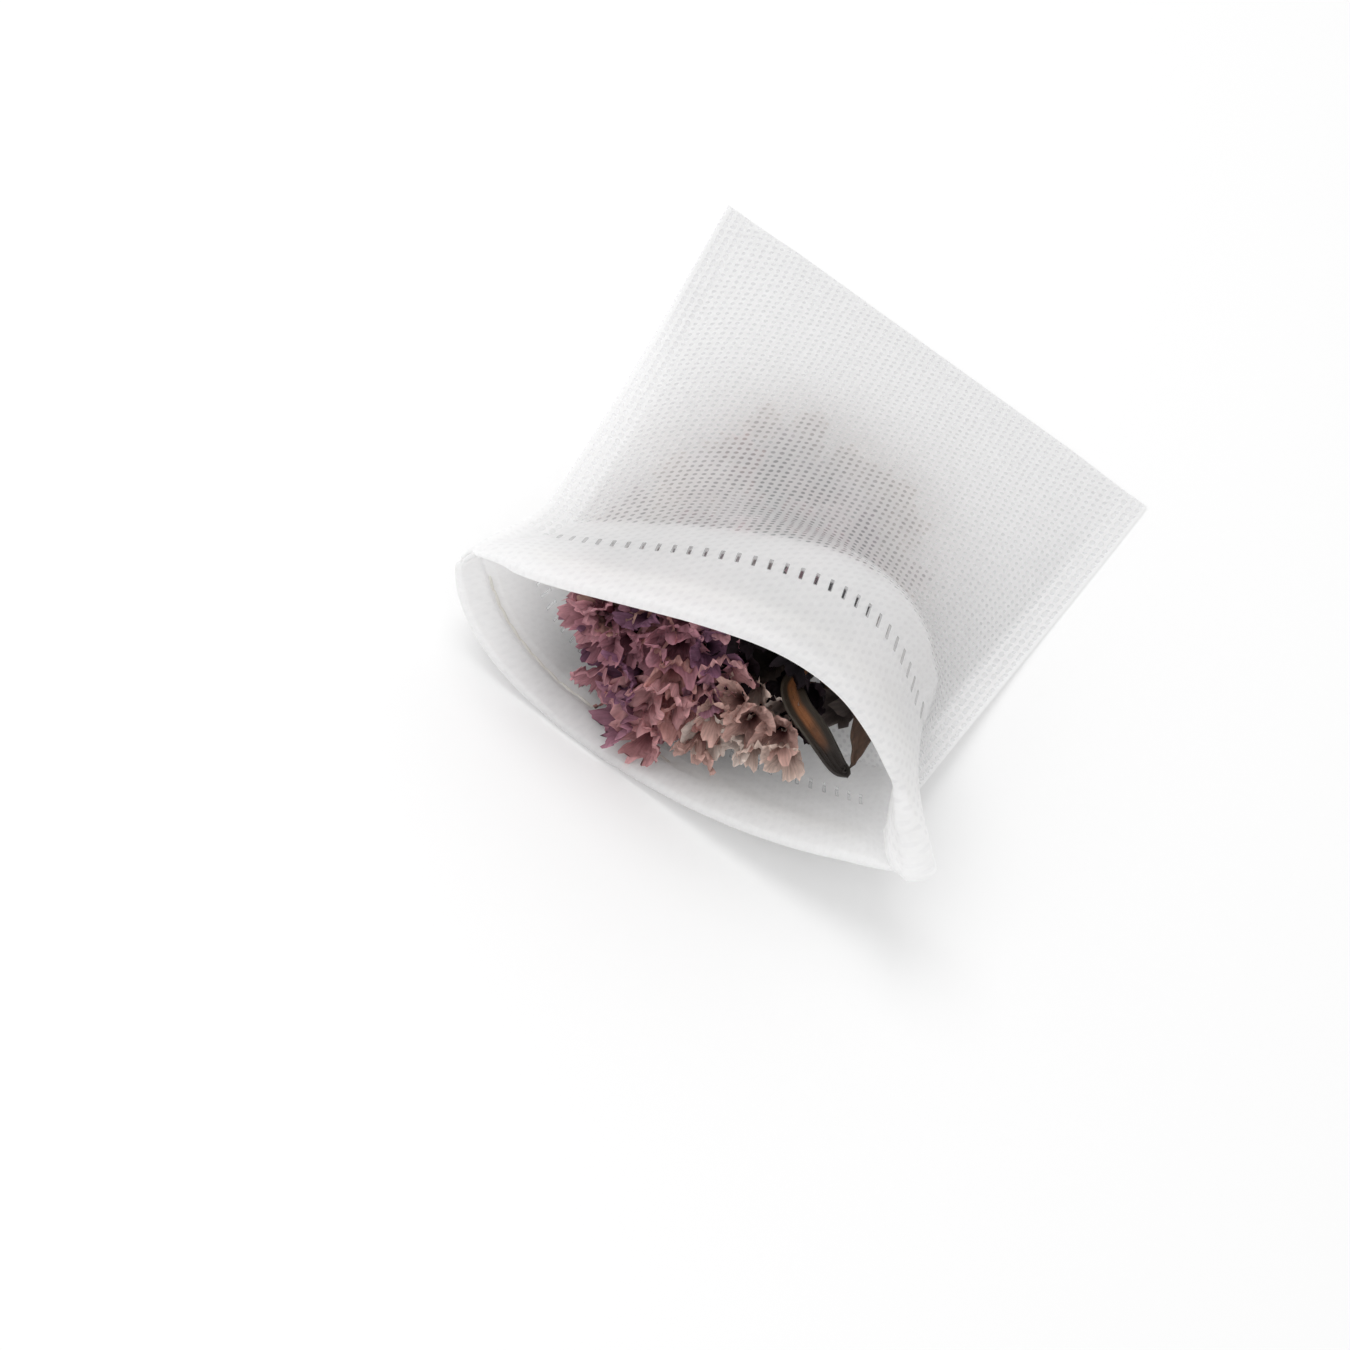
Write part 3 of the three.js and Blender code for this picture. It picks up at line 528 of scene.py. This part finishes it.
def blossom(bm, place, facing, radius, tint, chance, around, rings):
    """A ruffled funnel whose rim is round place; its colour runs from a dark throat, painted shade, to a
    pale rim, the petal colour with painted highlight.
    """
    uv, shade = bm.loops.layers.uv["petal"], bm.loops.layers.float_color["tint"]
    facing = facing.normalized()
    right = facing.orthogonal().normalized()
    right.rotate(Matrix.Rotation(chance.uniform(0, 6.28), 3, facing))
    up = facing.cross(right)
    lobes, phase, seed = chance.choice((4, 5, 5, 6)), chance.uniform(0, 6.28), chance.uniform(0, 90)
    depth = 1.45 * radius
    foot = place - facing * depth
    made = bmesh.ops.create_grid(bm, x_segments=around, y_segments=rings, size=1)["verts"]
    spot = {}
    for vert in made:
        a, u = (vert.co.x + 1) * math.pi, (vert.co.y + 1) / 2
        spot[vert] = (a / (2 * math.pi), u)
        ring = Vector((math.cos(a), math.sin(a), 0))
        rough = noise.noise(ring * 1.9 + Vector((0, 0, seed + 1.4 * u)))
        frill = math.sin(3 * lobes * a + phase) * 0.4 + noise.noise(ring * 5 + Vector((0, 0, seed)))
        crumple = 0.5 - 2 * abs(noise.noise(ring * 2.6 * u + Vector((seed, 0, 3 * u))))
        notch = abs(math.sin(lobes * a / 2 + phase)) ** 0.4
        ruffle = 1 + u * u * (0.45 * rough + 0.13 * (notch - 0.85) + 0.08 * frill)
        r = radius * (0.13 + 0.3 * u + 0.57 * u ** 1.8) * ruffle
        wave = u * u * (0.2 * frill + 0.6 * rough) + 0.5 * u * crumple
        z = depth * (1.2 * u - 0.3 * u ** 3) + radius * wave
        p = foot + facing * z + right * (r * ring.x + 0.3 * u * u * rough * radius) + up * r * ring.y
        ground, roof = inside_at(p.x, p.y)
        p.z = max(p.z, ground + (2.4 if 0 < p.y < HEM_WELD else 0.5))
        if p.y > 0:
            p.z = min(p.z, roof - (2.5 if p.y < HEM_EDGE + 1 else 0.9))
        vert.co = p * MM
    # dark is the painted shade of the throat, pale the petal colour with painted highlight towards the rim
    dark, pale = tint
    for face in {f for v in made for f in v.link_faces}:
        for loop in face.loops:
            loop[uv].uv = spot[loop.vert]
            u = spot[loop.vert][1]
            rim = 1.15 if u > 0.95 else 1
            loop[shade] = [mix(d, p, min(1.0, u ** 1.3)) * rim for d, p in zip(dark, pale)]
    return foot


def twig(bm, a, b, thick_a, thick_b):
    """A thin tapering branch between two points."""
    run = b - a
    place = Matrix.Translation((a + b) / 2 * MM) @ run.to_track_quat("Z", "Y").to_matrix().to_4x4()
    made = bmesh.ops.create_cone(bm, cap_ends=True, segments=6, radius1=thick_a / 2 * MM,
                                 radius2=thick_b / 2 * MM, depth=run.length * MM, matrix=place)["verts"]
    shade = bm.loops.layers.float_color["tint"]
    for face in {f for v in made for f in v.link_faces}:
        for loop in face.loops:
            loop[shade] = srgb(TWIG_BROWN)


# Dried petals: thin matt paper that glows where light comes through, with fine veins from throat to rim,
# about sixty round a head, and faded blotches of about 2.4 mm
petal_paper, tree = new_material("dried papery petals")
on_petal = node(tree, "ShaderNodeTexCoord")
tint = node(tree, "ShaderNodeVertexColor", layer_name="tint").outputs["Color"]
veins_at = node(tree, "ShaderNodeMapping", ("Vector", on_petal.outputs["UV"]), ("Scale", (60.0, 2.5, 1.0)))
veins = node(tree, "ShaderNodeTexNoise", ("Vector", veins_at.outputs[0]), ("Scale", 1.0),
             ("Detail", 3.0)).outputs["Fac"]
blotch = node(tree, "ShaderNodeTexNoise", ("Vector", on_petal.outputs["Object"]), ("Scale", 420.0),
              ("Detail", 4.0), ("Roughness", 0.65)).outputs["Fac"]
veined = node(tree, "ShaderNodeMapRange", ("Value", veins), ("From Min", 0.3), ("From Max", 0.7),
              ("To Min", 0.72), ("To Max", 1.12)).outputs["Result"]
faded = node(tree, "ShaderNodeMapRange", ("Value", blotch), ("From Min", 0.3), ("From Max", 0.7),
             ("To Min", 0.8), ("To Max", 1.15)).outputs["Result"]
tone = node(tree, "ShaderNodeMath", (0, veined), (1, faded), operation="MULTIPLY").outputs[0]
dyed = node(tree, "ShaderNodeVectorMath", (0, tint), ("Scale", tone), operation="SCALE").outputs[0]
crease = node(tree, "ShaderNodeBump", ("Height", veins), ("Strength", 0.5),
              ("Distance", 0.2 * MM)).outputs["Normal"]
paper = node(tree, "ShaderNodeBsdfPrincipled", ("Base Color", dyed), ("Roughness", 0.75),
             ("Specular IOR Level", 0.2), ("Normal", crease))
glow = node(tree, "ShaderNodeBsdfTranslucent", ("Color", dyed), ("Normal", crease))
petal = node(tree, "ShaderNodeMixShader", ("Fac", 0.3), (1, paper.outputs[0]), (2, glow.outputs[0]))
node(tree, "ShaderNodeOutputMaterial", ("Surface", petal.outputs[0]))

# Heads crowded in the mouth: three layers of mauve ones on the left, the hindmost dark, cream ones lower
# on the right, and near-black ones behind them under the hem; the near-black tints are dark dried petals
# with the shade of the bag's depths painted into them
pink, cream = [], []
for layer, tints in enumerate((PINK_TINTS, PINK_TINTS, DARK_AND_SHADE_TINTS)):
    def in_pink(p, layer=layer):
        left = -14.9 - 0.55 * (p.z - 9.2) if p.z > 9 else -9.2 - 0.25 * (p.z - 4)
        right = min(2.5 + 1.5 * layer, (p.z - 1.5) / 1.7 - 3.5, 3.4 - 0.9 * (p.z - 15.5) + 6 * (layer == 2))
        return left < p.x < right and clear_of_bag(p.x, 0.3 + 0.36 * p.z + 2.8 * layer, p.z, 2.3)

    for p in scattered(chance, 1200, 3.0 + 0.4 * layer, (-18, 0, 1), (6, 0, 23), in_pink):
        place = Vector((p.x, 0.3 + 0.36 * p.z + 2.8 * layer + chance.uniform(-0.7, 0.7), p.z))
        facing = Vector(((p.x + 6) / 16, -1, (p.z - 9) / 16))
        facing = facing + Vector([chance.uniform(-0.5, 0.5) for _ in range(3)])
        edge = layer == 0 and (p.x < -13 or p.z < 5) and chance.random() < 0.5
        radius = chance.uniform(2.5, 3.5)
        pink.append((place, facing, radius, chance.choice(TAN_TINTS if edge else tints), PINK_MESH))
for layer, tints in enumerate((CREAM_TINTS, CREAM_TINTS + PINK_TINTS[:2], DARK_AND_SHADE_TINTS)):
    def in_cream(p, layer=layer):
        between = 3.5 < p.x < 13.5 - layer and 7.5 + 0.75 * (p.x - 5.7) < p.z < 15.5 + 4 * (layer == 2)
        return between and clear_of_bag(p.x, 1.2 + 0.32 * p.z + 2.6 * layer, p.z, 2.3)

    for p in scattered(chance, 700, 2.7 + 0.6 * layer, (3, 0, 2), (14, 0, 18), in_cream):
        place = Vector((p.x, 1.2 + 0.32 * p.z + 2.6 * layer + chance.uniform(-0.6, 0.6), p.z))
        facing = Vector(((p.x - 7) / 14, -1, (p.z - 9) / 18))
        facing = facing + Vector([chance.uniform(-0.5, 0.5) for _ in range(3)])
        radius = chance.uniform(2.2, 3.1)
        cream.append((place, facing, radius, chance.choice(tints), CREAM_MESH))
# Near-black heads behind them under the front hem, their darkness partly painted shade
for p in scattered(chance, 300, 3.2, (1, 8, 14), (9, 13, 23), lambda p: clear_of_bag(p.x, p.y, p.z, 2.4)):
    facing = Vector([chance.uniform(-0.6, 0.6), -1, chance.uniform(-0.4, 0.6)])
    radius = chance.uniform(2.2, 2.8)
    pink.append((p, facing, radius, chance.choice(DARK_AND_SHADE_TINTS), SHADED_MESH))

# Five dark grey heads behind the gap beside the leaf, their grey painted shade for the bag's dark interior
# there
for p in SHADE_FILL_HEADS:
    facing = Vector([chance.uniform(-0.6, 0.6), -1, chance.uniform(-0.2, 0.6)])
    cream.append((Vector(p), facing, 3.2, PAINTED_SHADE_GREY, SHADED_MESH))


# Heads further in, close under the front panel: near-black and mauve patches in the middle, faded ones
# round them; the near-black ones are dark petals with painted shade, which shows through the panel
def under_front(p):
    half_span = 19 * math.sqrt(max(0.0, 1 - ((p.y - 22) / 44) ** 2))
    return abs(p.x + 1.5) < half_span and inside_at(p.x, p.y)[1] > 7


for p in scattered(chance, 1500, 3.8, (-21, 14, 0), (18, 62, 0), under_front):
    p.z = inside_at(p.x, p.y)[1] - chance.uniform(3.2, 4.8)
    facing = Vector((p.x / 30, -0.5, 1))
    facing = facing + Vector([chance.uniform(-0.5, 0.5) for _ in range(3)])
    fade = max(abs(p.x + 1.5) / 19, (p.y - 26) / 34) + chance.uniform(-0.2, 0.2)
    patch = noise.noise(Vector((p.x * 0.11, p.y * 0.11, 2.5)))
    tints = FADED_TINTS
    if fade <= 0.65 and patch > -0.1:
        tints = DARK_AND_SHADE_TINTS if patch > 0.1 else PINK_TINTS
    radius = chance.uniform(2.2, 2.9)
    (pink if p.x < 6 else cream).append((p, facing, radius, chance.choice(tints), DEEP_MESH))

for name, heads, (low, high), slot in (("pink_sprig", pink, PINK_STEM, "pink_petals"),
                                       ("cream_sprig", cream, CREAM_STEM, "cream_petals")):
    bm = bmesh.new()
    bm.loops.layers.uv.new("petal")
    bm.loops.layers.float_color.new("tint")
    twig(bm, low, high, 1.5, 1.1)
    for place, facing, radius, (dark, pale), (around, rings) in heads:
        foot = blossom(bm, place, facing, radius, (srgb(dark), srgb(pale)), chance, around, rings)
        along = min(1.0, max(0.0, (foot.y + 5 - low.y) / (high.y - low.y)))
        twig(bm, low.lerp(high, along), foot, 0.7, 0.5)
    bmesh.ops.remove_doubles(bm, verts=bm.verts, dist=0.0005 * MM)
    bmesh.ops.translate(bm, verts=bm.verts, vec=Vector(TO_ROW) * MM)
    sprig = finished(name + "_flowers", bm, petal_paper)
    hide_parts(name)

# Dry leaf: a narrow curled blade with a midrib, browned and darker to the tip, on a thin stalk
# that stands on the bag's floor and leans to the right of the mouth.
LEAF_LINE = [(9.6, 15.5, 19.2), (8.2, 11.2, 18.2), (9.6, 9, 18.1), (12.4, 7.4, 18.1),
             (15.2, 6.2, 17.9), (17.8, 5.3, 17.5), (18.9, 5, 17.8), (18.9, 5, 18.6)]
STALK, STALK_STEPS = ((12.5, 49, 2), (9.7, 14.6, 19.1)), 12
BLADE_THICK = 0.3


def along_line(points, share):
    """A point of the smooth line through a few points."""
    points = [Vector(p) for p in points]
    place = share * (len(points) - 1)
    k = min(int(place), len(points) - 2)
    f = place - k
    p0, p1 = points[max(k - 1, 0)], points[k]
    p2, p3 = points[k + 1], points[min(k + 2, len(points) - 1)]
    return 0.5 * (2 * p1 + (p2 - p0) * f + (2 * p0 - 5 * p1 + 4 * p2 - p3) * f * f
                  + (3 * p1 - p0 - 3 * p2 + p3) * f ** 3)


def leaf_blade(line, width, curl, seed):
    """A thin curled blade with a sunk midrib, along a smooth line, as a mesh with its own UV map."""
    bm = bmesh.new()
    bmesh.ops.create_grid(bm, x_segments=10, y_segments=36, size=1)
    blade_map = bm.loops.layers.uv.new("blade")
    spot = {}
    for vert in bm.verts:
        e, share = vert.co.x, (vert.co.y + 1) / 2
        p = along_line(line, share)
        ahead = along_line(line, min(1, share + 0.02)) - along_line(line, max(0, share - 0.02))
        ahead = ahead.normalized()
        side_on = ahead.cross(Vector((0.25, -0.35, 0.9))).normalized()
        out = side_on.cross(ahead).normalized()
        half = width / 2 * (0.03 + 0.97 * math.sin(math.pi * (0.1 + 0.89 * share ** 0.8)) ** 1.1)
        half *= 1 + 0.18 * noise.noise(Vector((share * 5, round(e), seed)))
        wave = 0.3 * noise.noise(Vector((share * 5, e * 2, seed)))
        raised = curl * e * e * half + wave - 0.15 * math.exp(-(e / 0.15) ** 2)
        spot[vert] = ((e + 1) / 2, share)
        vert.co = (p + side_on * e * half + out * raised + Vector(TO_ROW)) * MM
    for face in bm.faces:
        for loop in face.loops:
            loop[blade_map].uv = spot[loop.vert]
    bmesh.ops.recalc_face_normals(bm, faces=bm.faces)
    bmesh.ops.solidify(bm, geom=bm.faces[:], thickness=BLADE_THICK * MM)
    mesh = bpy.data.meshes.new("blade")
    bm.to_mesh(mesh)
    bm.free()
    return mesh


def stalk_ring(k):
    r = mix(0.6, 0.45, k / STALK_STEPS)
    return [(r * math.cos(i * 0.785), r * math.sin(i * 0.785)) for i in range(8)]


# Dry leaf skin: half matt and dark, with a warm brown streak along the middle that ends before the tip, the
# leaf's brown lightened there into a painted highlight, ribs along the blade and a mottle of about 2 mm
leaf_brown, tree = new_material("dry brown leaf")
on_leaf = node(tree, "ShaderNodeTexCoord")
blade_uv = node(tree, "ShaderNodeSeparateXYZ", ("Vector", on_leaf.outputs["UV"]))
mottle = node(tree, "ShaderNodeTexNoise", ("Vector", on_leaf.outputs["Object"]), ("Scale", 500.0),
              ("Detail", 5.0), ("Roughness", 0.7)).outputs["Fac"]
rib_at = node(tree, "ShaderNodeMapping", ("Vector", on_leaf.outputs["UV"]), ("Scale", (26.0, 3.0, 1.0)))
ribs = node(tree, "ShaderNodeTexNoise", ("Vector", rib_at.outputs[0]), ("Scale", 1.0),
            ("Detail", 2.0)).outputs["Fac"]
brown_streak_highlight = node(tree, "ShaderNodeMath", (0, blade_uv.outputs["X"]), (1, 0.45), operation="SUBTRACT")
brown_streak_highlight = node(tree, "ShaderNodeMath", (0, brown_streak_highlight.outputs[0]), operation="ABSOLUTE")
brown_streak_highlight = node(tree, "ShaderNodeMapRange", ("Value", brown_streak_highlight.outputs[0]), ("From Min", 0.08), ("From Max", 0.3),
            ("To Min", 1.0), ("To Max", 0.0), interpolation_type="SMOOTHSTEP")
brown_streak_highlight = node(tree, "ShaderNodeMath", (0, brown_streak_highlight.outputs["Result"]), (1, mottle),
            operation="MULTIPLY").outputs[0]
# The orange-brown of the streak is painted highlight over the leaf's own brown
brown = node(tree, "ShaderNodeMix", ("Factor", brown_streak_highlight), ("A", srgb("#2E2418")), ("B", srgb("#B87240")),
             data_type="RGBA")
to_tip = node(tree, "ShaderNodeMapRange", ("Value", blade_uv.outputs["Y"]), ("From Min", 0.42),
              ("From Max", 0.62)).outputs["Result"]
brown = node(tree, "ShaderNodeMix", ("Factor", to_tip), ("A", brown.outputs["Result"]),
             ("B", srgb("#211812")), data_type="RGBA")
ridged = node(tree, "ShaderNodeBump", ("Height", ribs), ("Strength", 0.7), ("Distance", 0.3 * MM))
leaf_skin = node(tree, "ShaderNodeBsdfPrincipled", ("Base Color", brown.outputs["Result"]),
                 ("Roughness", 0.6), ("Normal", ridged.outputs[0]))
node(tree, "ShaderNodeOutputMaterial", ("Surface", leaf_skin.outputs[0]))

bm = bmesh.new()
blade = leaf_blade(LEAF_LINE, width=2.9, curl=0.6, seed=5)
bm.from_mesh(blade)
bpy.data.meshes.remove(blade)
foot_of_leaf = bmesh.new()
low, high = (Vector(p) + Vector(TO_ROW) for p in STALK)
swept(foot_of_leaf, [low.lerp(high, k / STALK_STEPS) for k in range(STALK_STEPS + 1)], stalk_ring)
stalk = bpy.data.meshes.new("stalk")
foot_of_leaf.to_mesh(stalk)
foot_of_leaf.free()
bm.from_mesh(stalk)
bpy.data.meshes.remove(stalk)
leaf = finished("brown_leaf_blade", bm, leaf_brown)
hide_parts("brown_leaf")

# Bare stem: a dark dry stem, ridged along its length, that lies in the bag beside the leaf
# and ends in a small pointed leaf under the front hem.
STEM, STEM_STEPS = ((16.6, 45, 3.4), (18.3, 14, 19.1)), 30
TIP_LINE = [(17.6, 14.5, 19.4), (17.4, 10.8, 20.8), (18.1, 7.8, 20.7), (19.1, 5.4, 19.6)]


def stem_ring(k):
    """A ridged outline that tapers towards the tip."""
    ring = []
    for i in range(10):
        r = (0.75 - 0.3 * k / STEM_STEPS) * (1 + 0.12 * math.cos(4 * i))
        ring.append((r * math.cos(i * 0.628), r * math.sin(i * 0.628)))
    return ring


# Dry bark: matt, with a grain about 0.4 mm wide and ten times as long that runs along the stem
bark, tree = new_material("dry stem bark")
at = node(tree, "ShaderNodeTexCoord").outputs["Object"]
grain_at = node(tree, "ShaderNodeMapping", ("Vector", at), ("Scale", (2600.0, 260.0, 2600.0)))
grain = node(tree, "ShaderNodeTexNoise", ("Vector", grain_at.outputs[0]), ("Scale", 1.0),
             ("Detail", 4.0)).outputs["Fac"]
tone = node(tree, "ShaderNodeMix", ("Factor", grain), ("A", srgb("#1E1611")), ("B", srgb("#5A4030")),
            data_type="RGBA")
ridged = node(tree, "ShaderNodeBump", ("Height", grain), ("Strength", 0.6), ("Distance", 0.2 * MM))
skin = node(tree, "ShaderNodeBsdfPrincipled", ("Base Color", tone.outputs["Result"]), ("Roughness", 0.8),
            ("Normal", ridged.outputs[0]))
node(tree, "ShaderNodeOutputMaterial", ("Surface", skin.outputs[0]))

stem_line = []
for k in range(STEM_STEPS + 1):
    sway = Vector((0.2 * math.sin(k * 0.5), 0, 0.15 * math.cos(k * 0.37)))
    stem_line.append(along_line(STEM, k / STEM_STEPS) + sway + Vector(TO_ROW))
bm = bmesh.new()
swept(bm, stem_line, stem_ring)
tip_leaf = leaf_blade(TIP_LINE, width=3.0, curl=0.3, seed=9)
bm.from_mesh(tip_leaf)
bpy.data.meshes.remove(tip_leaf)
stem_piece = finished("bare_stem_bark", bm, bark)
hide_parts("bare_stem")

# Stage: a plain pale matt floor and an even white surround, with a wide soft light above and to the left
# and a weak soft one in front.
scene = bpy.context.scene
scene.view_settings.view_transform = "Standard"
bm = bmesh.new()
bmesh.ops.create_grid(bm, x_segments=1, y_segments=1, size=3)
floor_mesh = bpy.data.meshes.new("floor")
bm.to_mesh(floor_mesh)
bm.free()
floor = bpy.data.objects.new("floor", floor_mesh)
scene.collection.objects.link(floor)
pale_floor, tree = new_material("pale floor")
matt = node(tree, "ShaderNodeBsdfPrincipled", ("Base Color", srgb("#F7F7F7")), ("Roughness", 0.9),
            ("Specular IOR Level", 0.1))
node(tree, "ShaderNodeOutputMaterial", ("Surface", matt.outputs[0]))
floor_mesh.materials.append(pale_floor)

world = bpy.data.worlds.new("studio")
scene.world = world
world.use_nodes = True
world.node_tree.nodes.clear()
surround = node(world.node_tree, "ShaderNodeBackground", ("Color", srgb("#FFFFFF")), ("Strength", 0.8))
node(world.node_tree, "ShaderNodeOutputWorld", ("Surface", surround.outputs[0]))


def soft_light(name, place, size, power):
    """A round soft light that points at the middle of the bag."""
    lamp = bpy.data.lights.new(name, "AREA")
    lamp.shape, lamp.size, lamp.energy = "DISK", size, power
    made = bpy.data.objects.new(name, lamp)
    made.location = place
    made.rotation_euler = (-Vector(place)).to_track_quat("-Z", "Y").to_euler()
    scene.collection.objects.link(made)


soft_light("key", place=(-0.38, 0.05, 0.68), size=0.6, power=2.0)
soft_light("fill", place=(-0.25, -0.55, 0.4), size=0.5, power=0.45)

# Camera: above and in front of the mouth, looking along the bag, and rolled so that the bag runs
# up to the right.
AZIMUTH, ELEVATION, ROLL = (math.radians(a) for a in (0.45, 49.8, 35.5))
LOOKED_AT, DISTANCE = Vector((-0.0032, -0.0347, 0.008)), 0.3575
behind = Vector((math.sin(AZIMUTH) * math.cos(ELEVATION), -math.cos(AZIMUTH) * math.cos(ELEVATION),
                 math.sin(ELEVATION)))
level = Vector((0, 0, 1)).cross(behind).normalized()
over = behind.cross(level)
right = level * math.cos(ROLL) + over * math.sin(ROLL)
above = over * math.cos(ROLL) - level * math.sin(ROLL)
lens = bpy.data.cameras.new("camera")
lens.sensor_width, lens.lens, lens.clip_start = 36.0, 81.6, 0.01
camera = bpy.data.objects.new("camera", lens)
camera.matrix_world = Matrix((right, above, behind)).transposed().to_4x4()
camera.location = LOOKED_AT + behind * DISTANCE
scene.collection.objects.link(camera)
scene.camera = camera
